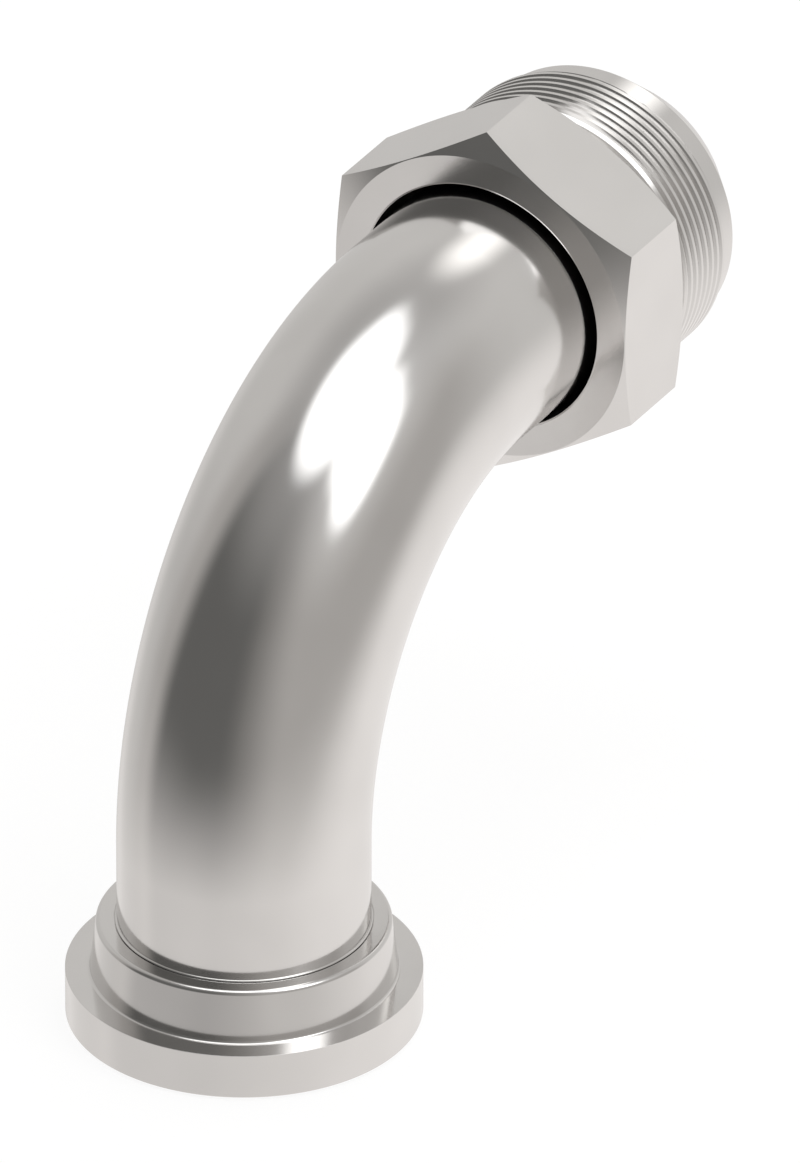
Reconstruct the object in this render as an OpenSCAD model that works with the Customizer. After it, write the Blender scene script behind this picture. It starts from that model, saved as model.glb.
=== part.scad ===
// Elbow adapter for hydraulic lines: a bent 2 inch tube with a clamp flange head on one end and, on
// the other, a 37 degree flare nose with a captive male swivel nut. Millimetres, +Z up.
// The origin is the centre of the flange face. The flange axis is Z, and the swivel axis is
// parallel to X. The elbow is symmetric about the plane Y = 0.

/* [Elbow tube] */
// Outside diameter of the tube
tube_od = 50.8; // [38:0.1:76]
// Wall thickness of the tube
tube_wall = 3.4; // [2:0.1:6]
// Radius of the bend at the tube's centreline
bend_radius = 76.2; // [60:0.1:88]
// Height of the swivel axis above the flange face
flange_leg = 114.3; // [110:0.1:160]
// Distance from the flange axis to the tip of the nose
swivel_leg = 152.4; // [148:0.1:200]
// Chamfer on the outside of each tube end
tube_end_chamfer = 0.5; // [0.2:0.1:1]

/* [Flange head] */
// Thickness of the flange head
flange_thickness = 9.53; // [8:0.01:14]
// Wall of the hub round its tube socket, at the hub's top
hub_wall = 4; // [3:0.1:8]
// Angle by which the hub's side spreads towards the flange head
hub_taper = 6.5; // [1:0.5:10]
// Width of the ledge round the hub's foot that the clamp halves press on
flange_ledge = 4.94; // [3.5:0.01:10]
// Height of the hub's top above the flange face
hub_height = 20.7; // [16:0.1:30]
// Radius of the round on the hub's top edge
hub_rounding = 1; // [0.2:0.1:1.5]
// Radius of the fillet where the hub meets the flange head
hub_fillet = 0.6; // [0.4:0.1:2]
// Height of the shoulder under the tube's end, above the flange face
tube_seat_height = 4.8; // [4:0.1:7]
// Radius of the round bead of braze on the tube at the mouth of its socket
braze_bead = 0.4; // [0.3:0.1:0.8]

/* [Face seal] */
// Width of the flat land between the port and the seal groove
seal_land = 5.3; // [3:0.1:6]
// Thickness of the seal ring's round section
seal_section = 3.53; // [3:0.01:4]
// Depth of the seal groove
groove_depth = 2.8; // [2.4:0.1:3.2]
// Width of the seal groove
groove_width = 4.8; // [4.4:0.1:5.6]

/* [Nose] */
// Angle between the sealing cone and the swivel axis
nose_angle = 37; // [33:1:39]
// Length of the sealing cone along the swivel axis
cone_length = 9.2; // [7:0.1:9.6]
// Wall of the collar round its tube socket
collar_wall = 4.65; // [4:0.05:4.9]
// Length of the collar
collar_length = 4.6; // [3.5:0.1:6]
// Depth of the tube socket, from the back of the collar
nose_socket_depth = 8.4; // [6:0.1:9]
// Chamfer at the mouth of the nose's bore
nose_mouth_chamfer = 0.4; // [0.2:0.1:0.8]

/* [Support sleeve] */
// Whole length of the sleeve
sleeve_length = 26; // [16:0.5:34]
// Thickness of the sleeve's head, which lies between the nut and the nose
sleeve_head = 1.6; // [1.2:0.1:2.5]
// How far the head stands out from the sleeve's outer wall
sleeve_head_rise = 1.9; // [1.4:0.1:2]
// Chamfer on the sleeve's tail
sleeve_tail_chamfer = 0.4; // [0.1:0.1:0.7]

/* [Swivel nut] */
// How far the hexagon's flats stand out beyond the thread
hex_rise = 1.5875; // [1:0.0005:5]
// Length of the hexagon
hex_length = 23.5; // [18:0.1:26]
// How far the hexagon's round end faces stand in from its flats
hex_face_inset = 0.19; // [0.05:0.01:0.5]
// Angle between the hexagon's front chamfer and its front face
hex_front_chamfer_angle = 26; // [20:1:35]
// Angle between the hexagon's back chamfer and its back face
hex_back_chamfer_angle = 30; // [20:1:35]
// Whole length of the nut
nut_length = 44.5; // [40:0.1:48]
// Gap all round between the nut's bore and the tube
nut_gap = 1.48; // [1.3:0.01:1.9]
// Chamfer at the front of the nut's bore
nut_bore_chamfer = 0.3; // [0.1:0.1:0.8]
// Wall of the nut between its bore and the root of its thread
nut_wall = 3.27; // [2.8:0.01:5]
// Depth of the thread, and of the relief behind the hexagon
thread_depth = 1.6; // [1:0.1:2]
// Length of the relief behind the hexagon
relief_length = 1.7; // [1:0.1:5]
// Length of the cone that leads from the relief up to the thread
thread_lead_length = 2.8; // [1:0.1:4]
// Length of the chamfer at the free end of the thread
thread_chamfer = 1.1; // [0.6:0.1:1.6]

/* [Fits] */
// Gap all round between the tube and each socket that it is brazed into
braze_gap = 0.1; // [0.05:0.01:0.2]
// How far the bores of the flange head and the nose stand in from the tube's bore
bore_step = 0.15; // [0:0.05:0.5]
// Clearance of the seal ring to the roof and the outer wall of its groove
seal_clearance = 0.05; // [0.02:0.01:0.1]
// Running clearance all round inside and outside the support sleeve
sleeve_clearance = 0.1; // [0.05:0.01:0.1]
// Gap between the nut's end face and the collar of the nose
nut_standoff = 0.1; // [0.05:0.01:0.3]

/* [Hidden] */
$fn = 128;
hex_sides = 6;
// Extra length of a cutter past the face that it opens
cut_past = 1;

// Radii that follow the tube
tube_r = tube_od / 2;
tube_bore_r = tube_r - tube_wall;
port_r = tube_bore_r - bore_step;
socket_r = tube_r + braze_gap;
nut_bore_r = tube_r + nut_gap;
sleeve_bore_r = tube_r + sleeve_clearance;
sleeve_r = nut_bore_r - sleeve_clearance;
sleeve_head_r = sleeve_r + sleeve_head_rise;
nut_recess_r = sleeve_head_r + sleeve_clearance;

// Places along the swivel axis, measured from the flange axis
cone_base_x = swivel_leg - cone_length;
collar_back_x = cone_base_x - collar_length;
tube_end_x = collar_back_x + nose_socket_depth;
nut_end_x = collar_back_x - nut_standoff;
nut_front_x = nut_end_x - nut_length;

// Straight stretches on both sides of the bend
bend_start_z = flange_leg - bend_radius;
bend_end_x = bend_radius;

// Hub, flange head and the seal groove in the flange face
hub_r = socket_r + hub_wall;
hub_foot_r = hub_r + (hub_height - flange_thickness) * tan(hub_taper);
flange_r = hub_foot_r + flange_ledge;
groove_inner_r = port_r + seal_land;
seal_r = groove_inner_r + groove_width - seal_clearance - seal_section / 2;
seal_centre_z = groove_depth - seal_clearance - seal_section / 2;

// Collar, sealing cone, thread and hexagon
collar_r = socket_r + collar_wall;
cone_tip_r = collar_r - cone_length * tan(nose_angle);
thread_root_r = nut_bore_r + nut_wall;
thread_r = thread_root_r + thread_depth;
hex_flat_r = thread_r + hex_rise;
hex_corner_r = hex_flat_r / cos(180 / hex_sides);

// Moves a form drawn along Z to a place on the swivel axis, pointing away from the elbow
module on_swivel_axis(x) {
    translate([x, 0, flange_leg])
        rotate([0, 90, 0])
            children();
}

// Round bar that follows the elbow's centreline, from the tube's lower end to its upper end
module elbow_bar(radius, past = 0) {
    translate([0, 0, tube_seat_height - past])
        cylinder(r = radius, h = bend_start_z - tube_seat_height + past);
    translate([bend_radius, 0, bend_start_z])
        rotate([90, 0, 0])
            rotate_extrude(angle = -90)
                translate([-bend_radius, 0])
                    circle(r = radius);
    on_swivel_axis(bend_end_x)
        cylinder(r = radius, h = tube_end_x - bend_end_x + past);
}

// Ring that trims the outer edge of a tube end, with its small side at z = 0
module tube_edge_cutter() {
    rotate_extrude()
        polygon([
            [tube_r - tube_end_chamfer, 0],
            [tube_r + cut_past, 0],
            [tube_r + cut_past, tube_end_chamfer],
            [tube_r, tube_end_chamfer]
        ]);
}

module elbow_tube() {
    color([0.78, 0.77, 0.75])
        difference() {
            elbow_bar(tube_r);
            elbow_bar(tube_bore_r, cut_past);
            translate([0, 0, tube_seat_height])
                tube_edge_cutter();
            on_swivel_axis(tube_end_x)
                mirror([0, 0, 1])
                    tube_edge_cutter();
        }
}

// Sliver between a corner of the hub and the round that touches both its sides. The corner is at
// the origin: one side runs along -X, and the other runs down and spreads by the hub's taper.
module hub_corner_sliver(radius) {
    reach = radius * tan((90 - hub_taper) / 2);
    difference() {
        polygon([
            [0, 0],
            [-reach, 0],
            [-reach, -radius],
            [reach * sin(hub_taper), -reach * cos(hub_taper)]
        ]);
        translate([-reach, -radius])
            circle(r = radius);
    }
}

// Half section of the flange head and its hub, without the holes
module flange_outline() {
    square([flange_r, flange_thickness]);
    difference() {
        polygon([
            [0, 0],
            [hub_foot_r, 0],
            [hub_foot_r, flange_thickness],
            [hub_r, hub_height],
            [0, hub_height]
        ]);
        translate([hub_r, hub_height])
            hub_corner_sliver(hub_rounding);
    }
    translate([hub_foot_r, flange_thickness])
        rotate(180)
            hub_corner_sliver(hub_fillet);
    translate([tube_r, hub_height])
        circle(r = braze_bead);
}

module flange_head() {
    color([0.74, 0.73, 0.71])
        difference() {
            rotate_extrude()
                flange_outline();
            translate([0, 0, -cut_past])
                cylinder(r = port_r, h = hub_height);
            translate([0, 0, tube_seat_height])
                cylinder(r = socket_r, h = hub_height);
            rotate_extrude()
                translate([groove_inner_r, -cut_past])
                    square([groove_width, groove_depth + cut_past]);
        }
}

module flange_o_ring() {
    color([0.09, 0.09, 0.09])
        translate([0, 0, seal_centre_z])
            rotate_extrude()
                translate([seal_r, 0])
                    circle(d = seal_section);
}

// Half section of the nose, drawn from the back of its collar to its tip
module nose_outline() {
    tip_z = collar_length + cone_length;
    polygon([
        [socket_r, 0],
        [collar_r, 0],
        [collar_r, collar_length],
        [cone_tip_r, tip_z],
        [port_r + nose_mouth_chamfer, tip_z],
        [port_r, tip_z - nose_mouth_chamfer],
        [port_r, nose_socket_depth],
        [socket_r, nose_socket_depth]
    ]);
}

module nose_piece() {
    color([0.76, 0.75, 0.73])
        on_swivel_axis(collar_back_x)
            rotate_extrude()
                nose_outline();
}

// Half section of the sleeve, drawn from its tail to the face of its head
module sleeve_outline() {
    polygon([
        [sleeve_bore_r, 0],
        [sleeve_r - sleeve_tail_chamfer, 0],
        [sleeve_r, sleeve_tail_chamfer],
        [sleeve_r, sleeve_length - sleeve_head],
        [sleeve_head_r, sleeve_length - sleeve_head],
        [sleeve_head_r, sleeve_length],
        [sleeve_bore_r, sleeve_length]
    ]);
}

module support_sleeve() {
    color([0.62, 0.6, 0.56])
        on_swivel_axis(collar_back_x - sleeve_length)
            rotate_extrude()
                sleeve_outline();
}

// Hexagon with both ends chamfered to a round face
module chamfered_hexagon() {
    face_r = hex_flat_r - hex_face_inset;
    reach = hex_corner_r + cut_past;
    front_drop = (reach - face_r) * tan(hex_front_chamfer_angle);
    back_drop = (reach - face_r) * tan(hex_back_chamfer_angle);
    intersection() {
        cylinder(r = hex_corner_r, h = hex_length, $fn = hex_sides);
        rotate_extrude()
            polygon([
                [0, 0],
                [face_r, 0],
                [reach, front_drop],
                [reach, hex_length - back_drop],
                [face_r, hex_length],
                [0, hex_length]
            ]);
    }
}

// Half section of the threaded barrel with its relief, the thread as a plain band
module barrel_outline() {
    relief_end = hex_length + relief_length;
    polygon([
        [0, hex_length / 2],
        [thread_root_r, hex_length / 2],
        [thread_root_r, relief_end],
        [thread_r, relief_end + thread_lead_length],
        [thread_r, nut_length - thread_chamfer],
        [thread_root_r, nut_length],
        [0, nut_length]
    ]);
}

module swivel_nut() {
    recess_depth = sleeve_head - nut_standoff;
    color([0.8, 0.79, 0.77])
        on_swivel_axis(nut_front_x)
            difference() {
                union() {
                    chamfered_hexagon();
                    rotate_extrude()
                        barrel_outline();
                }
                translate([0, 0, -cut_past])
                    cylinder(r = nut_bore_r, h = nut_length + 2 * cut_past);
                translate([0, 0, -nut_bore_chamfer])
                    cylinder(r1 = nut_bore_r + 2 * nut_bore_chamfer, r2 = nut_bore_r, h = 2 * nut_bore_chamfer);
                translate([0, 0, nut_length - recess_depth])
                    cylinder(r = nut_recess_r, h = recess_depth + cut_past);
            }
}

elbow_tube();
flange_head();
flange_o_ring();
nose_piece();
support_sleeve();
swivel_nut();
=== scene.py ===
"""Looks of the elbow adapter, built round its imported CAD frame.

Every piece is a swept or turned mesh with true shading normals. Sizes are millimetres, and the
meshes are in metres. The camera looks along the photograph's direction.
"""
import math

import bpy
from mathutils import Matrix, Vector


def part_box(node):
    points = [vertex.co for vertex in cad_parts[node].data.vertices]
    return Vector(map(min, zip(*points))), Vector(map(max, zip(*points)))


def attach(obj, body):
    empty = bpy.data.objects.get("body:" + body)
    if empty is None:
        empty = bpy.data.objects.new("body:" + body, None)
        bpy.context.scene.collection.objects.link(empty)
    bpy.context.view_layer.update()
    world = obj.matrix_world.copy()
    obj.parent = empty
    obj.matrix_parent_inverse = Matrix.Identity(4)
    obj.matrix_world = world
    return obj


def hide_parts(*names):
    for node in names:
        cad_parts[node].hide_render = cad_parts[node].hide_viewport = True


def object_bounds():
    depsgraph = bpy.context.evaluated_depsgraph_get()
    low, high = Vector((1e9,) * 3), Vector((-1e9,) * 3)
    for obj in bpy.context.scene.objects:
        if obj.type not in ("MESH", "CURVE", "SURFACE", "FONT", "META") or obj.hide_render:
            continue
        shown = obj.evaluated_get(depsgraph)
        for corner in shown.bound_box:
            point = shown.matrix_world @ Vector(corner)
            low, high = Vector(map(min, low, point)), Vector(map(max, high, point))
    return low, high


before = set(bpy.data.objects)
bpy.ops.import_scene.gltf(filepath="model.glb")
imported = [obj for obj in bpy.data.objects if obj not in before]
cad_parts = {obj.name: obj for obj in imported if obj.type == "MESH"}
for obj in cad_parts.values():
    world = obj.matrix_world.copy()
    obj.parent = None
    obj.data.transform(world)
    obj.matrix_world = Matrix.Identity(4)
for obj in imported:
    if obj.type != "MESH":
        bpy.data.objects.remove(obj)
cad_low, cad_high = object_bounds()

MM = 0.001
X = Vector((1, 0, 0))
Y = Vector((0, 1, 0))
Z = Vector((0, 0, 1))


def span(node):
    """Lowest and highest corner of a CAD node, in millimetres."""
    low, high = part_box(node)
    return Vector(low) / MM, Vector(high) / MM


# Sizes read from the frame
tube_low, tube_high = span("elbow_tube")
head_low, head_high = span("flange_head")
seal_low, seal_high = span("flange_o_ring")
nose_low, nose_high = span("nose_piece")
sleeve_low, sleeve_high = span("support_sleeve")
nut_low, nut_high = span("swivel_nut")

TUBE_R = tube_high.y
AXIS_Z = tube_high.z - TUBE_R
TUBE_SEAT = tube_low.z
TUBE_END = tube_high.x
FLANGE_R = -head_low.x
BEAD_TOP = head_high.z
NOSE_BACK = nose_low.x
NOSE_LENGTH = nose_high.x - nose_low.x
COLLAR_R = nose_high.y
SLEEVE_LENGTH = sleeve_high.x - sleeve_low.x
SLEEVE_HEAD_R = sleeve_high.y
NUT_FRONT = nut_low.x
NUT_LENGTH = nut_high.x - nut_low.x
HEX_FLAT = nut_high.y
SEAL_SECTION = seal_high.z - seal_low.z
SEAL_MIDDLE = (seal_high.z + seal_low.z) / 2
SEAL_R = seal_high.y - SEAL_SECTION / 2

# Sizes that a box can't give, as in the CAD model
BEND_R = 76.2
TUBE_WALL = 3.4
TUBE_END_CHAMFER = 0.5
BORE_STEP = 0.15
BRAZE_GAP = 0.1
BRAZE_BEAD = 0.4
HUB_WALL = 4.0
HUB_TAPER = math.radians(6.5)
HUB_ROUNDING = 1.0
HUB_FILLET = 0.6
FLANGE_THICKNESS = 9.53
SEAL_LAND = 5.3
GROOVE_WIDTH = 4.8
GROOVE_DEPTH = 2.8
CONE_LENGTH = 9.2
NOSE_ANGLE = math.radians(37)
NOSE_SOCKET = 8.4
NOSE_MOUTH = 0.4
SLEEVE_CLEARANCE = 0.1
SLEEVE_HEAD = 1.6
SLEEVE_TAIL_CHAMFER = 0.4
NUT_GAP = 1.48
NUT_BEVEL = 0.34
NUT_BEVEL_ANGLE = math.radians(22)
NUT_RECESS = 1.5
HEX_LENGTH = 23.5
HEX_RISE = 1.5875
HEX_FACE_INSET = 0.19
HEX_FRONT_CHAMFER = math.radians(26)
HEX_BACK_CHAMFER = math.radians(30)
RELIEF_LENGTH = 1.7
RELIEF_DEPTH = 1.6
THREAD_LEAD = 2.8
THREAD_CHAMFER = 1.1
THREAD_PITCH = 25.4 / 12

# Sizes of forms that only the scene has
BEAD_GROOVE_WIDTH = 0.2
BEAD_GROOVE_DEPTH = 0.6
THREAD_FLANK = math.radians(30)
THREAD_CREST = 0.38 * THREAD_PITCH
THREAD_ROOT = 0.08 * THREAD_PITCH
THREAD_PHASE = -0.425
SEAL_RIDGE_HEIGHT = 0.04
SEAL_RIDGE_WIDTH = math.radians(4)

# How far edges and corners are rounded
KNIFE_EDGE = 0.06
NUT_FACE_EDGE = 0.08
FINE_EDGE = 0.1
LIP_EDGE = 0.12
RIM_EDGE = 0.15
BORE_EDGE = 0.2
PORT_EDGE = 0.25
ROUND_EDGE = 0.3
NECK_FILLET = 0.4

BORE_R = TUBE_R - TUBE_WALL
PORT_R = BORE_R - BORE_STEP
SOCKET_R = TUBE_R + BRAZE_GAP
BEAD_R = TUBE_R + BRAZE_BEAD
HUB_TOP = BEAD_TOP - BRAZE_BEAD
HUB_R = SOCKET_R + HUB_WALL
HUB_FOOT_R = HUB_R + (HUB_TOP - FLANGE_THICKNESS) * math.tan(HUB_TAPER)
GROOVE_INNER_R = PORT_R + SEAL_LAND
NUT_BORE_R = TUBE_R + NUT_GAP
NUT_RECESS_R = SLEEVE_HEAD_R + SLEEVE_CLEARANCE
HEX_FACE_R = HEX_FLAT - HEX_FACE_INSET
THREAD_R = HEX_FLAT - HEX_RISE
RELIEF_R = THREAD_R - RELIEF_DEPTH

# How finely the meshes are cut
AROUND = 240
NUT_AROUND = 360
SEAL_STEPS = 72
ARC_STEPS = 8
THREAD_STEPS = 5
THREAD_ROOT_STEPS = 2
TUBE_STEP = 1.5
SHORTEST_STEP = 1e-6
GRID_PER_MM = 1e4

# Where the surface map has the hexagon's front, crests, valleys and back
HEX_MAP = (0, 3, 20, 23)


class Mesh:
    """Collects faces by their corners, joins equal points and keeps each corner's own normal."""

    def __init__(self):
        self.index = {}
        self.points = []
        self.faces = []
        self.normals = []
        self.maps = []
        self.slots = []
        self.slot = 0

    def point(self, place):
        """The number of the point at a place, which is new where no point has that place yet."""
        key = tuple(round(c * GRID_PER_MM) for c in place)
        if key not in self.index:
            self.index[key] = len(self.points)
            self.points.append(place * MM)
        return self.index[key]

    def face(self, corners):
        """corners is a list of (place, normal, (across, along)), anticlockwise from outside."""
        kept = []
        for place, normal, spot in corners:
            number = self.point(place)
            if not kept or all(number != other[0] for other in kept):
                kept.append((number, normal, spot))
        if len(kept) < 3:
            return
        self.faces.append([number for number, normal, spot in kept])
        self.slots.append(self.slot)
        for number, normal, spot in kept:
            self.normals.append(normal)
            self.maps.append((spot[0] * MM, spot[1] * MM))

    def build(self, name, materials):
        """Makes the object."""
        data = bpy.data.meshes.new(name)
        data.from_pydata(self.points, [], self.faces)
        layer = data.uv_layers.new(name="surface")
        for loop, spot in zip(layer.data, self.maps):
            loop.uv = spot
        for material in materials:
            data.materials.append(material)
        for polygon, slot in zip(data.polygons, self.slots):
            polygon.material_index = slot
        data.shade_smooth()
        data.normals_split_custom_set([tuple(n) for n in self.normals])
        data.validate()
        piece = bpy.data.objects.new(name, data)
        bpy.context.scene.collection.objects.link(piece)
        return piece


class Stop:
    """A point of a half section, with the outward normals of the stretches before and after it."""

    def __init__(self, s, r, before, after):
        self.s = s
        self.r = r
        self.before = before
        self.after = after


def outward(step):
    """Outward normal of a stretch of a half section that is drawn with the metal on its left."""
    return Vector((step.y, -step.x)).normalized()


def half_section(corners):
    """Closed half section as stops. corners is a list of (s, r, rounding radius)."""
    stops = []
    for number, (s, r, blend) in enumerate(corners):
        here = Vector((s, r))
        before = Vector(corners[number - 1][:2])
        after = Vector(corners[(number + 1) % len(corners)][:2])
        into = (here - before).normalized()
        out = (after - here).normalized()
        if not blend:
            stops.append(Stop(s, r, outward(into), outward(out)))
            continue
        turn = math.atan2(into.x * out.y - into.y * out.x, into.dot(out))
        side = math.copysign(blend, turn)
        start = here - into * blend * math.tan(abs(turn) / 2)
        centre = start - outward(into) * side
        for step in range(ARC_STEPS + 1):
            normal = Matrix.Rotation(turn * step / ARC_STEPS, 2) @ outward(into)
            place = centre + normal * side
            stops.append(Stop(place.x, place.y, normal, normal))
    return stops


def subdivided(stops, longest):
    """The same stops, in an open row, with every stretch no longer than longest along s."""
    fine = []
    for stop, following in zip(stops, stops[1:]):
        fine.append(stop)
        parts = max(1, math.ceil(abs(following.s - stop.s) / longest))
        for part in range(1, parts):
            share = part / parts
            s = stop.s + (following.s - stop.s) * share
            r = stop.r + (following.r - stop.r) * share
            fine.append(Stop(s, r, stop.after, stop.after))
    return fine + stops[-1:]


def straight_path(origin, along, side):
    """Path along a line: gives the centre and the three directions at a distance s."""
    other = along.cross(side)

    def at(s):
        return origin + along * s, along, side, other
    return at


def elbow_path(s):
    """The elbow's centreline, with s measured from the flange face."""
    first = AXIS_Z - BEND_R
    turn = min(max((s - first) / BEND_R, 0), math.pi / 2)
    along = X * math.sin(turn) + Z * math.cos(turn)
    side = X * math.cos(turn) - Z * math.sin(turn)
    if s < first:
        centre = Z * s
    else:
        past = s - first - BEND_R * turn
        centre = X * (BEND_R * (1 - math.cos(turn)) + past * math.sin(turn))
        centre += Z * (first + BEND_R * math.sin(turn))
    return centre, along, side, Y


def sweep(mesh, path, stops, around=AROUND, closed=True):
    """Turns a half section round a path."""
    mean_r = sum(stop.r for stop in stops) / len(stops)
    rays = [2 * math.pi * n / around for n in range(around + 1)]
    pairs = list(zip(stops, stops[1:] + stops[:1] if closed else stops[1:]))
    length = 0
    for stop, following in pairs:
        run = math.hypot(following.s - stop.s, following.r - stop.r)
        for ray, next_ray in zip(rays, rays[1:]):
            corners = []
            for place, angle in ((stop, ray), (following, ray), (following, next_ray), (stop, next_ray)):
                centre, along, side, other = path(place.s)
                radial = side * math.cos(angle) + other * math.sin(angle)
                slope = stop.after if place is stop else following.before
                normal = along * slope.x + radial * slope.y
                spot = (angle * mean_r, length + (0 if place is stop else run))
                corners.append((centre + radial * place.r, normal, spot))
            mesh.face(corners)
        length += run


FLANGE_AXIS = straight_path(Vector((0, 0, 0)), Z, X)


def swivel_axis(x):
    """Path along the swivel axis, with s measured from the place x."""
    return straight_path(Vector((x, 0, AXIS_Z)), X, Y)


def feed(tree, socket, value):
    """Links another node's output to a socket, or sets the socket to a number or a colour."""
    if isinstance(value, bpy.types.NodeSocket):
        tree.links.new(value, socket)
    else:
        socket.default_value = value


def calculated(tree, operation, *values):
    """A maths node's result. Each value is a number or another node's output."""
    node = tree.nodes.new("ShaderNodeMath")
    node.operation = operation
    for socket, value in zip(node.inputs, values):
        feed(tree, socket, value)
    return node.outputs["Value"]


def mixed_colour(tree, share, first, second, label=""):
    """The first colour where share is 0, the second where it is 1."""
    mix = tree.nodes.new("ShaderNodeMix")
    mix.label = label
    mix.data_type = "RGBA"
    feed(tree, mix.inputs["Factor"], share)
    feed(tree, mix.inputs["A"], first)
    feed(tree, mix.inputs["B"], second)
    return mix.outputs["Result"]


def mixed_shader(tree, share, first, second):
    """The first shader where share is 0, the second where it is 1."""
    mix = tree.nodes.new("ShaderNodeMixShader")
    feed(tree, mix.inputs["Fac"], share)
    feed(tree, mix.inputs[1], first)
    feed(tree, mix.inputs[2], second)
    return mix.outputs["Shader"]


def shader_output(tree, kind, output, **values):
    """The output of a new shader node whose sockets are set to the values."""
    node = tree.nodes.new(kind)
    for name, value in values.items():
        feed(tree, node.inputs[name], value)
    return node.outputs[output]


def noise(tree, vector, scale, detail=2.0):
    node = tree.nodes.new("ShaderNodeTexNoise")
    node.inputs["Scale"].default_value = scale
    node.inputs["Detail"].default_value = detail
    tree.links.new(vector, node.inputs["Vector"])
    return node.outputs["Fac"]


NOISE_LOW = 0.35
NOISE_HIGH = 0.65


def remap(tree, value, low, high):
    """The middle of a noise's range, stretched over low to high."""
    node = tree.nodes.new("ShaderNodeMapRange")
    node.inputs["From Min"].default_value = NOISE_LOW
    node.inputs["From Max"].default_value = NOISE_HIGH
    node.inputs["To Min"].default_value = low
    node.inputs["To Max"].default_value = high
    tree.links.new(value, node.inputs["Value"])
    return node.outputs["Result"]


def stretched(tree, across, along):
    """The piece's surface map, with its two directions scaled apart."""
    uv = tree.nodes.new("ShaderNodeUVMap")
    uv.uv_map = "surface"
    scale = tree.nodes.new("ShaderNodeVectorMath")
    scale.operation = "MULTIPLY"
    scale.inputs[1].default_value = (across, along, 1)
    tree.links.new(uv.outputs["UV"], scale.inputs[0])
    return scale.outputs["Vector"]


def new_material(name):
    material = bpy.data.materials.new(name)
    material.use_nodes = True
    return material, material.node_tree


def object_place(tree):
    return tree.nodes.new("ShaderNodeTexCoord").outputs["Object"]


def mottle(tree, shader, scale, dark, light):
    """Gives the shader a base colour in soft clouds between two shades."""
    clouds = remap(tree, noise(tree, object_place(tree), scale), 0.0, 1.0)
    colour = mixed_colour(tree, clouds, (*dark, 1), (*light, 1))
    tree.links.new(colour, shader.inputs["Base Color"])


def relief(tree, shader, height, strength, distance):
    """Gives the shader a fine bump."""
    bump = tree.nodes.new("ShaderNodeBump")
    bump.inputs["Strength"].default_value = strength
    bump.inputs["Distance"].default_value = distance
    tree.links.new(height, bump.inputs["Height"])
    tree.links.new(bump.outputs["Normal"], shader.inputs["Normal"])


STEEL_MOTTLE = 45.0
STEEL_CLOUDS = 120.0
CLOUD_DETAIL = 4.0
MARK_DETAIL = 3.0
MARK_SHARE = 0.5


def steel(name, shades, roughness, marks, mark_depth, metallic=1.0):
    """Steel. marks is how often the tool or draw marks repeat across and along, per metre."""
    material, tree = new_material(name)
    shader = tree.nodes["Principled BSDF"]
    shader.inputs["Metallic"].default_value = metallic
    mottle(tree, shader, STEEL_MOTTLE, *shades)
    lines = noise(tree, stretched(tree, *marks), 1.0, MARK_DETAIL)
    clouds = noise(tree, object_place(tree), STEEL_CLOUDS, CLOUD_DETAIL)
    clouds = calculated(tree, "MULTIPLY", clouds, 1 - MARK_SHARE)
    both = calculated(tree, "MULTIPLY_ADD", lines, MARK_SHARE, clouds)
    tree.links.new(remap(tree, both, *roughness), shader.inputs["Roughness"])
    relief(tree, shader, lines, 1.0, mark_depth)
    return material


RUBBER_SHADES = ((0.012, 0.012, 0.013), (0.022, 0.022, 0.023))
RUBBER_MOTTLE = 300.0
RUBBER_GRAIN = 4000.0
RUBBER_ROUGHNESS = (0.42, 0.55)
RUBBER_BUMP = 0.3
RUBBER_GRAIN_DEPTH = 0.00002


def seal_rubber():
    material, tree = new_material("nitrile_rubber")
    shader = tree.nodes["Principled BSDF"]
    mottle(tree, shader, RUBBER_MOTTLE, *RUBBER_SHADES)
    grain = noise(tree, object_place(tree), RUBBER_GRAIN)
    tree.links.new(remap(tree, grain, *RUBBER_ROUGHNESS), shader.inputs["Roughness"])
    relief(tree, shader, grain, RUBBER_BUMP, RUBBER_GRAIN_DEPTH)
    return material


# Finishes: dark and light shade, roughness, marks per metre across and along, depth of the marks
# in metres
DRAW_MARKS = (2600, 60)
TURN_MARKS = (40, 5200)
MILL_MARKS = (60, 4200)
PLATED = ((0.715, 0.705, 0.695), (0.745, 0.735, 0.725))
# The nut's bore: near-black steel that paints shade into the deep gap between nut and tube
BORE_PAINTED_SHADE = ((0.14, 0.135, 0.13), (0.2, 0.195, 0.19))
TUBE_INSIDE = ((0.44, 0.43, 0.41), (0.56, 0.55, 0.53))
# The sleeve inside the nut: darker steel that paints shade into the gap between nut and tube
SLEEVE_PAINTED_SHADE = ((0.42, 0.4, 0.375), (0.5, 0.48, 0.45))

DRAWN = steel("drawn_tube_finish", PLATED, (0.12, 0.14), DRAW_MARKS, 0.0000003)
TURNED = steel("turned_finish", PLATED, (0.12, 0.15), TURN_MARKS, 0.0000004)
MILLED = steel("milled_nut_finish", PLATED, (0.15, 0.19), MILL_MARKS, 0.0000004)
# Dark, rough steel for the nut's bore, painted shade that keeps the gap black
PAINTED_SHADE_BORE_STEEL = steel("bore_painted_shade", BORE_PAINTED_SHADE, (0.34, 0.45), MILL_MARKS, 0.000001)
TUBE_BORE = steel("tube_bore_finish", TUBE_INSIDE, (0.34, 0.48), DRAW_MARKS, 0.000001, metallic=0.65)
# Darker, rougher steel for the sleeve, painted shade for the gap inside the nut
PAINTED_SHADE_SLEEVE_STEEL = steel("sleeve_painted_shade", SLEEVE_PAINTED_SHADE, (0.3, 0.42), TURN_MARKS, 0.000001)
RUBBER = seal_rubber()


def place_piece(mesh, name, materials, body, node):
    """Builds a piece, lets it ride on its body and puts it in place of its CAD node."""
    piece = mesh.build(name, materials)
    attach(piece, body)
    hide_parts(node)


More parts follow.
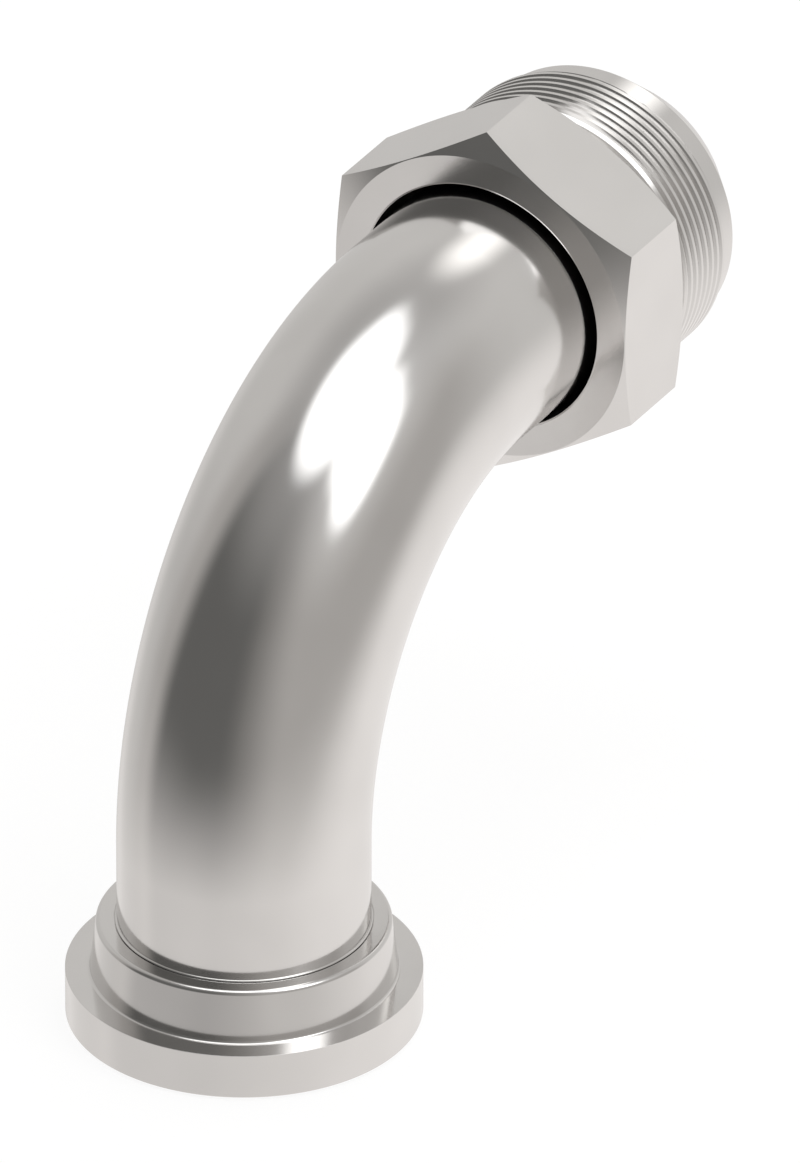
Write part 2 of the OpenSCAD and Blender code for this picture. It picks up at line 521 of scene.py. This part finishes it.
def make_tube():
    """The bent tube. Its bore is a stretch of its own, with a finish of its own."""
    end = AXIS_Z - BEND_R + BEND_R * math.pi / 2 + TUBE_END - BEND_R
    edge = TUBE_END_CHAMFER
    stops = half_section([
        (TUBE_SEAT, BORE_R, BORE_EDGE),
        (end, BORE_R, BORE_EDGE),
        (end, TUBE_R - edge, FINE_EDGE),
        (end - edge, TUBE_R, FINE_EDGE),
        (TUBE_SEAT + edge, TUBE_R, FINE_EDGE),
        (TUBE_SEAT, TUBE_R - edge, FINE_EDGE),
    ])
    inside = stops[ARC_STEPS:ARC_STEPS + 2]
    outside = stops[ARC_STEPS + 1:] + stops[:ARC_STEPS + 1]
    mesh = Mesh()
    sweep(mesh, elbow_path, subdivided(outside, TUBE_STEP), closed=False)
    mesh.slot = 1
    sweep(mesh, elbow_path, subdivided(inside, TUBE_STEP), closed=False)
    place_piece(mesh, "bent_tube", [DRAWN, TUBE_BORE], "elbow", "elbow_tube")


def make_flange_head():
    """The clamp flange head with its hub, its seal groove and the braze bead at the hub's mouth."""
    groove_outer_r = GROOVE_INNER_R + GROOVE_WIDTH
    mesh = Mesh()
    sweep(mesh, FLANGE_AXIS, half_section([
        (0, PORT_R, PORT_EDGE),
        (TUBE_SEAT, PORT_R, BORE_EDGE),
        (TUBE_SEAT, SOCKET_R, 0),
        (HUB_TOP, SOCKET_R, 0),
        (HUB_TOP, TUBE_R, 0),
        (HUB_TOP + BRAZE_BEAD, TUBE_R, 0),
        (HUB_TOP + BRAZE_BEAD, BEAD_R, BRAZE_BEAD),
        (HUB_TOP - BEAD_GROOVE_DEPTH, BEAD_R, 0),
        (HUB_TOP - BEAD_GROOVE_DEPTH, BEAD_R + BEAD_GROOVE_WIDTH, 0),
        (HUB_TOP, BEAD_R + BEAD_GROOVE_WIDTH, 0),
        (HUB_TOP, HUB_R, HUB_ROUNDING),
        (FLANGE_THICKNESS, HUB_FOOT_R, HUB_FILLET),
        (FLANGE_THICKNESS, FLANGE_R, KNIFE_EDGE),
        (0, FLANGE_R, RIM_EDGE),
        (0, groove_outer_r, LIP_EDGE),
        (GROOVE_DEPTH, groove_outer_r, ROUND_EDGE),
        (GROOVE_DEPTH, GROOVE_INNER_R, ROUND_EDGE),
        (0, GROOVE_INNER_R, LIP_EDGE),
    ]))
    place_piece(mesh, "clamp_flange_head", [TURNED], "elbow", "flange_head")


def make_seal():
    """The seal ring, with the fine ridge that its mould leaves on the inner and outer side."""
    stops = []
    for step in range(SEAL_STEPS):
        angle = 2 * math.pi * step / SEAL_STEPS
        off_ridge = min(abs(angle - turn) for turn in (0, math.pi, 2 * math.pi))
        ridge = SEAL_RIDGE_HEIGHT * math.exp(-(off_ridge / SEAL_RIDGE_WIDTH) ** 2)
        ball = SEAL_SECTION / 2 - SEAL_RIDGE_HEIGHT / 2 + ridge
        normal = Vector((math.sin(angle), math.cos(angle)))
        stops.append(Stop(SEAL_MIDDLE + ball * normal.x, SEAL_R + ball * normal.y, normal, normal))
    mesh = Mesh()
    sweep(mesh, FLANGE_AXIS, stops[::-1])
    place_piece(mesh, "face_seal_ring", [RUBBER], "elbow", "flange_o_ring")


def make_nose():
    """The end piece with its collar and its flare cone."""
    cone_base = NOSE_LENGTH - CONE_LENGTH
    tip_r = COLLAR_R - CONE_LENGTH * math.tan(NOSE_ANGLE)
    mesh = Mesh()
    sweep(mesh, swivel_axis(NOSE_BACK), half_section([
        (0, SOCKET_R, FINE_EDGE),
        (NOSE_SOCKET, SOCKET_R, 0),
        (NOSE_SOCKET, PORT_R, BORE_EDGE),
        (NOSE_LENGTH - NOSE_MOUTH, PORT_R, FINE_EDGE),
        (NOSE_LENGTH, PORT_R + NOSE_MOUTH, FINE_EDGE),
        (NOSE_LENGTH, tip_r, ROUND_EDGE),
        (cone_base, COLLAR_R, ROUND_EDGE),
        (0, COLLAR_R, RIM_EDGE),
    ]))
    place_piece(mesh, "flare_nose", [TURNED], "elbow", "nose_piece")


def make_sleeve():
    """The loose sleeve, with its head between the nut and the nose."""
    bore = TUBE_R + SLEEVE_CLEARANCE
    wall_r = NUT_BORE_R - SLEEVE_CLEARANCE
    head = SLEEVE_LENGTH - SLEEVE_HEAD
    mesh = Mesh()
    sweep(mesh, swivel_axis(NOSE_BACK - SLEEVE_LENGTH), half_section([
        (0, bore, FINE_EDGE),
        (SLEEVE_LENGTH, bore, FINE_EDGE),
        (SLEEVE_LENGTH, SLEEVE_HEAD_R, RIM_EDGE),
        (head, SLEEVE_HEAD_R, RIM_EDGE),
        (head, wall_r, FINE_EDGE),
        (SLEEVE_TAIL_CHAMFER, wall_r, FINE_EDGE),
        (0, wall_r - SLEEVE_TAIL_CHAMFER, FINE_EDGE),
    ]))
    # The sleeve takes the darker steel, painted shade for the gap
    place_piece(mesh, "loose_sleeve", [PAINTED_SHADE_SLEEVE_STEEL], "sleeve", "support_sleeve")


def hexagon(mesh, path):
    """The six flats and the two chamfers that cut them."""
    per_flat = NUT_AROUND // 6
    front_lean = Vector((-math.cos(HEX_FRONT_CHAMFER), math.sin(HEX_FRONT_CHAMFER)))
    back_lean = Vector((math.cos(HEX_BACK_CHAMFER), math.sin(HEX_BACK_CHAMFER)))
    centre, along, side, other = path(0)

    def ray(number):
        angle = 2 * math.pi * number / NUT_AROUND
        return side * math.cos(angle) + other * math.sin(angle)

    def rib(number, flat):
        """One line from front to back: its four places, its strips' normals, its place round the nut."""
        off = (number + per_flat // 2) % per_flat - per_flat // 2
        far = HEX_FLAT / math.cos(2 * math.pi * off / NUT_AROUND)
        front_cut = (far - HEX_FACE_R) * math.tan(HEX_FRONT_CHAMFER)
        back_cut = (far - HEX_FACE_R) * math.tan(HEX_BACK_CHAMFER)
        out = ray(number)
        places = [
            centre + out * HEX_FACE_R,
            centre + along * front_cut + out * far,
            centre + along * (HEX_LENGTH - back_cut) + out * far,
            centre + along * HEX_LENGTH + out * HEX_FACE_R,
        ]
        to_front = along * front_lean.x + out * front_lean.y
        to_back = along * back_lean.x + out * back_lean.y
        return places, (to_front, flat, to_back), 2 * math.pi * number / NUT_AROUND * HEX_FLAT

    for number in range(NUT_AROUND):
        flat = ray((number + per_flat // 2) // per_flat * per_flat)
        here = rib(number, flat)
        there = rib(number + 1, flat)
        for strip in range(3):
            corners = []
            for line, end in ((here, strip + 1), (here, strip), (there, strip), (there, strip + 1)):
                places, normals, across = line
                corners.append((places[end], normals[strip], (across, HEX_MAP[end])))
            mesh.face(corners)


def thread_profile():
    """One turn of a 60 degree thread: (share of the pitch, depth, True where the form is round)."""
    flank = (THREAD_PITCH - THREAD_CREST - THREAD_ROOT) / 2
    depth = flank / math.tan(THREAD_FLANK)
    points = []

    def stretch(start, length, depth_from, depth_to, steps, smooth):
        for step in range(steps):
            share = step / steps
            place = (start + length * share) / THREAD_PITCH
            points.append((place, depth_from + (depth_to - depth_from) * share, smooth and step > 0))
    stretch(0, THREAD_CREST, 0, 0, THREAD_STEPS, False)
    stretch(THREAD_CREST, flank, 0, depth, THREAD_STEPS, False)
    stretch(THREAD_CREST + flank, THREAD_ROOT, depth, depth, THREAD_ROOT_STEPS, True)
    stretch(THREAD_CREST + flank + THREAD_ROOT, flank, depth, 0, THREAD_STEPS, False)
    return points


def thread(mesh, path, first, last):
    """The helical thread between two places on the nut's barrel, with its lead-in cone and its chamfer."""
    profile = thread_profile()
    centre, along, side, other = path(0)
    # Enough turns to fill every column from first to last
    turns = range(-2, math.ceil((last - first) / THREAD_PITCH) + 1)

    def surface(s, depth):
        """The thread runs out on the lead-in cone, and the free end's chamfer cuts it off."""
        lead_in = min((s - first) / THREAD_LEAD, 1)
        chamfer = min((last - s) / THREAD_CHAMFER, 1)
        cut = THREAD_R - depth * lead_in - (1 - lead_in) * (THREAD_R - RELIEF_R)
        return min(cut, RELIEF_R + chamfer * (THREAD_R - RELIEF_R))

    def outward_slope(step):
        """Normal of a step, or straight out where the ends hold two places together."""
        if step.length > SHORTEST_STEP:
            return Vector((-step.y, step.x)).normalized()
        return Vector((0, 1))

    columns = []
    for number in range(NUT_AROUND + 1):
        lead = number / NUT_AROUND
        column = []
        for turn in turns:
            for share, depth, smooth in profile:
                s = first + THREAD_PITCH * (turn + share + lead + THREAD_PHASE)
                s = min(max(s, first), last)
                column.append((Vector((s, surface(s, depth))), smooth))
        slopes = [outward_slope(later[0] - here[0]) for here, later in zip(column, column[1:])]
        columns.append((column, slopes))

    def corner(number, row, slope_row):
        column, slopes = columns[number]
        place, smooth = column[row]
        slope = slopes[slope_row]
        if smooth and 0 < row < len(slopes):
            slope = (slopes[row - 1] + slopes[row]).normalized()
        angle = 2 * math.pi * number / NUT_AROUND
        radial = side * math.cos(angle) + other * math.sin(angle)
        normal = along * slope.x + radial * slope.y
        return centre + along * place.x + radial * place.y, normal, (angle * THREAD_R, place.x)

    for number in range(NUT_AROUND):
        for row in range(len(columns[0][1])):
            mesh.face([
                corner(number, row + 1, row),
                corner(number, row, row),
                corner(number + 1, row, row),
                corner(number + 1, row + 1, row),
            ])


def make_nut():
    """The nut: its front face and bevel, its relief, its hexagon, its thread and its bore."""
    path = swivel_axis(NUT_FRONT)
    thread_start = HEX_LENGTH + RELIEF_LENGTH
    bore = half_section([
        (NUT_LENGTH, RELIEF_R, 0),
        (HEX_LENGTH, RELIEF_R, 0),
        (0, HEX_FACE_R, 0),
        (0, NUT_BORE_R + NUT_BEVEL, NUT_FACE_EDGE),
        (NUT_BEVEL * math.tan(NUT_BEVEL_ANGLE), NUT_BORE_R, KNIFE_EDGE),
        (NUT_LENGTH - NUT_RECESS, NUT_BORE_R, FINE_EDGE),
        (NUT_LENGTH - NUT_RECESS, NUT_RECESS_R, FINE_EDGE),
        (NUT_LENGTH, NUT_RECESS_R, LIP_EDGE),
    ])
    # The front is the third corner and the two rounded ones after it, and the bore is the rest
    bevel_end = 2 + 2 * (ARC_STEPS + 1)
    front = bore[2:bevel_end + 1]
    inside = bore[bevel_end:] + bore[:1]
    # The neck's last corner only closes the section
    neck = half_section([
        (thread_start, RELIEF_R, 0),
        (HEX_LENGTH, RELIEF_R, NECK_FILLET),
        (HEX_LENGTH, HEX_FACE_R, 0),
        (thread_start, HEX_FACE_R, 0),
    ])
    mesh = Mesh()
    sweep(mesh, path, front, NUT_AROUND, closed=False)
    sweep(mesh, path, neck[:-1], NUT_AROUND, closed=False)
    hexagon(mesh, path)
    thread(mesh, path, thread_start, NUT_LENGTH)
    # The bore takes the near-black steel, painted shade for the gap round the tube
    mesh.slot = 1
    sweep(mesh, path, inside, NUT_AROUND, closed=False)
    place_piece(mesh, "male_swivel_nut", [MILLED, PAINTED_SHADE_BORE_STEEL], "nut", "swivel_nut")


make_tube()
make_flange_head()
make_seal()
make_nose()
make_sleeve()
make_nut()


def heading(azimuth, elevation):
    """Unit vector towards a place of the studio, azimuth from +X towards +Y, in degrees."""
    a = math.radians(azimuth)
    e = math.radians(elevation)
    return math.cos(e) * math.cos(a), math.cos(e) * math.sin(a), math.sin(e)


# Camera: the photograph is a parallel view, so the lens is very long. Its places are metres.
VIEW = Vector(heading(30, -30))
LENS = 1050.0
SENSOR_WIDTH = 36.0
CAMERA_DISTANCE = 6.762
CAMERA_TARGET = Vector((0.05216, -0.00573, 0.07328))
NEAREST_SEEN = 0.1
FARTHEST_SEEN = 20.0


def make_camera():
    data = bpy.data.cameras.new("camera")
    data.lens = LENS
    data.sensor_width = SENSOR_WIDTH
    data.clip_start = NEAREST_SEEN
    data.clip_end = FARTHEST_SEEN
    camera = bpy.data.objects.new("camera", data)
    camera.location = CAMERA_TARGET - VIEW * CAMERA_DISTANCE
    camera.rotation_euler = VIEW.to_track_quat("-Z", "Y").to_euler()
    bpy.context.scene.collection.objects.link(camera)
    bpy.context.scene.camera = camera


# The studio's walls and panels. A wall is a soft upright band: azimuth, inner and outer half width.
# A panel is a soft round: azimuth, elevation, inner and outer half angle, strength. Angles are
# degrees, and both end with their radiance. Each one lies over those before it.
GREY_WALL = (0.485, 0.468, 0.45)
FLOOR_LIGHT = (1.0, 0.968, 0.947)
WALLS = [
    ("right_wall", 20, 62, 84, (0.645, 0.63, 0.613)),
    ("end_wall", 0, 25, 62, (0.7, 0.684, 0.667)),
    ("shade", 180, 8, 56, (0.212, 0.206, 0.198)),
    ("dark_wall", 152, 27, 48, (0.146, 0.144, 0.139)),
]
PANELS = [
    ("ceiling", 0, 90, 28, 60, 0.72, (0.41, 0.4, 0.39)),
    ("key_halo", -92, 54, 10, 42, 0.14, (1.9, 1.9, 1.9)),
    ("side_softbox_low", -97, 50, 9, 19, 1, (2.5, 2.5, 2.5)),
    ("side_softbox_high", -96, 62, 9, 19, 1, (2.5, 2.5, 2.5)),
    ("back_softbox", 1.5, 40, 1, 17, 1, (1.7, 1.67, 1.63)),
    ("top_softbox", -120, 89.3, 18, 26, 1, (1.8, 1.8, 1.8)),
    ("top_softbox_corner", 14, 74, 3, 12.5, 1, (1.8, 1.8, 1.8)),
    ("pale_floor", 0, -90, 45, 92, 0.9, FLOOR_LIGHT),
    ("pale_floor_near_key", -50, -60, 20, 60, 1, FLOOR_LIGHT),
    ("pale_floor_far_left", -178, -35, 14, 42, 0.07, FLOOR_LIGHT),
    ("pale_floor_far_right", 138, -35, 14, 42, 0.07, FLOOR_LIGHT),
    ("right_wall_foot", 84, -12, 6, 34, 0.33, (0.45, 0.44, 0.43)),
    ("end_wall_foot", 36, -18, 2, 26, 0.85, (0.6, 0.586, 0.571)),
]


def soft_edge(tree, value, outer, inner):
    """0 outside outer, 1 inside inner, with a soft step between them. Both are degrees."""
    edge = tree.nodes.new("ShaderNodeMapRange")
    edge.interpolation_type = "SMOOTHSTEP"
    edge.inputs["From Min"].default_value = math.radians(outer)
    edge.inputs["From Max"].default_value = math.radians(inner)
    tree.links.new(value, edge.inputs["Value"])
    return edge.outputs["Result"]


def studio_colour(tree):
    """What a reflection sees of the studio, by its direction."""
    direction = tree.nodes.new("ShaderNodeTexCoord").outputs["Generated"]
    parts = tree.nodes.new("ShaderNodeSeparateXYZ")
    tree.links.new(direction, parts.inputs["Vector"])
    turn = calculated(tree, "ARCTAN2", parts.outputs["Y"], parts.outputs["X"])
    colour = (*GREY_WALL, 1)
    for name, azimuth, inner, outer, radiance in WALLS:
        off = calculated(tree, "SUBTRACT", turn, math.radians(azimuth))
        off = calculated(tree, "ABSOLUTE", calculated(tree, "WRAP", off, math.pi, -math.pi))
        share = soft_edge(tree, off, outer, inner)
        colour = mixed_colour(tree, share, colour, (*radiance, 1), name)
    for name, azimuth, elevation, inner, outer, strength, radiance in PANELS:
        dot = tree.nodes.new("ShaderNodeVectorMath")
        dot.operation = "DOT_PRODUCT"
        dot.inputs[1].default_value = heading(azimuth, elevation)
        tree.links.new(direction, dot.inputs[0])
        off = calculated(tree, "ARCCOSINE", dot.outputs["Value"])
        share = calculated(tree, "MULTIPLY", soft_edge(tree, off, outer, inner), strength)
        colour = mixed_colour(tree, share, colour, (*radiance, 1), name)
    return colour


def make_world():
    """A grey studio with soft panels and a pale floor, and plain white behind the object for the camera."""
    world = bpy.data.worlds.new("studio")
    bpy.context.scene.world = world
    world.use_nodes = True
    tree = world.node_tree
    tree.nodes.clear()
    studio = shader_output(tree, "ShaderNodeBackground", "Background", Color=studio_colour(tree))
    white = shader_output(tree, "ShaderNodeBackground", "Background", Color=(1, 1, 1, 1))
    seen = tree.nodes.new("ShaderNodeLightPath")
    output = tree.nodes.new("ShaderNodeOutputWorld")
    shown = mixed_shader(tree, seen.outputs["Is Camera Ray"], studio, white)
    tree.links.new(shown, output.inputs["Surface"])


FLOOR_HALF = 3.0
FLOOR_WHITE = 0.8
FLOOR_SHADE = 0.16
FLOOR_GLOW = 0.885


def floor_paper():
    """White paper. For the camera part of its white is its own, so that the shadow stays light.

    In the metal it gives way to the pale floor of the studio round it.
    """
    material, tree = new_material("floor_paper")
    tree.nodes.clear()
    white = (FLOOR_WHITE, FLOOR_WHITE, FLOOR_WHITE, 1)
    shaded = (FLOOR_SHADE, FLOOR_SHADE, FLOOR_SHADE, 1)
    paper = shader_output(tree, "ShaderNodeBsdfDiffuse", "BSDF", Color=white)
    shade = shader_output(tree, "ShaderNodeBsdfDiffuse", "BSDF", Color=shaded)
    glow = shader_output(tree, "ShaderNodeEmission", "Emission", Color=(1, 1, 1, 1), Strength=FLOOR_GLOW)
    through = shader_output(tree, "ShaderNodeBsdfTransparent", "BSDF")
    lit = tree.nodes.new("ShaderNodeAddShader")
    tree.links.new(shade, lit.inputs[0])
    tree.links.new(glow, lit.inputs[1])
    seen = tree.nodes.new("ShaderNodeLightPath").outputs
    shown = mixed_shader(tree, seen["Is Camera Ray"], paper, lit.outputs["Shader"])
    mirrored = calculated(tree, "MAXIMUM", seen["Is Glossy Ray"], seen["Is Transmission Ray"])
    output = tree.nodes.new("ShaderNodeOutputMaterial")
    tree.links.new(mixed_shader(tree, mirrored, shown, through), output.inputs["Surface"])
    return material


def make_floor():
    """A square floor under the flange, at the object's lowest point."""
    signs = ((-1, -1), (1, -1), (1, 1), (-1, 1))
    corners = [(FLOOR_HALF * x, FLOOR_HALF * y, cad_low[2]) for x, y in signs]
    data = bpy.data.meshes.new("floor")
    data.from_pydata(corners, [], [(0, 1, 2, 3)])
    data.materials.append(floor_paper())
    floor = bpy.data.objects.new("floor", data)
    bpy.context.scene.collection.objects.link(floor)


make_camera()
make_world()
make_floor()
bpy.context.scene.view_settings.view_transform = "Standard"
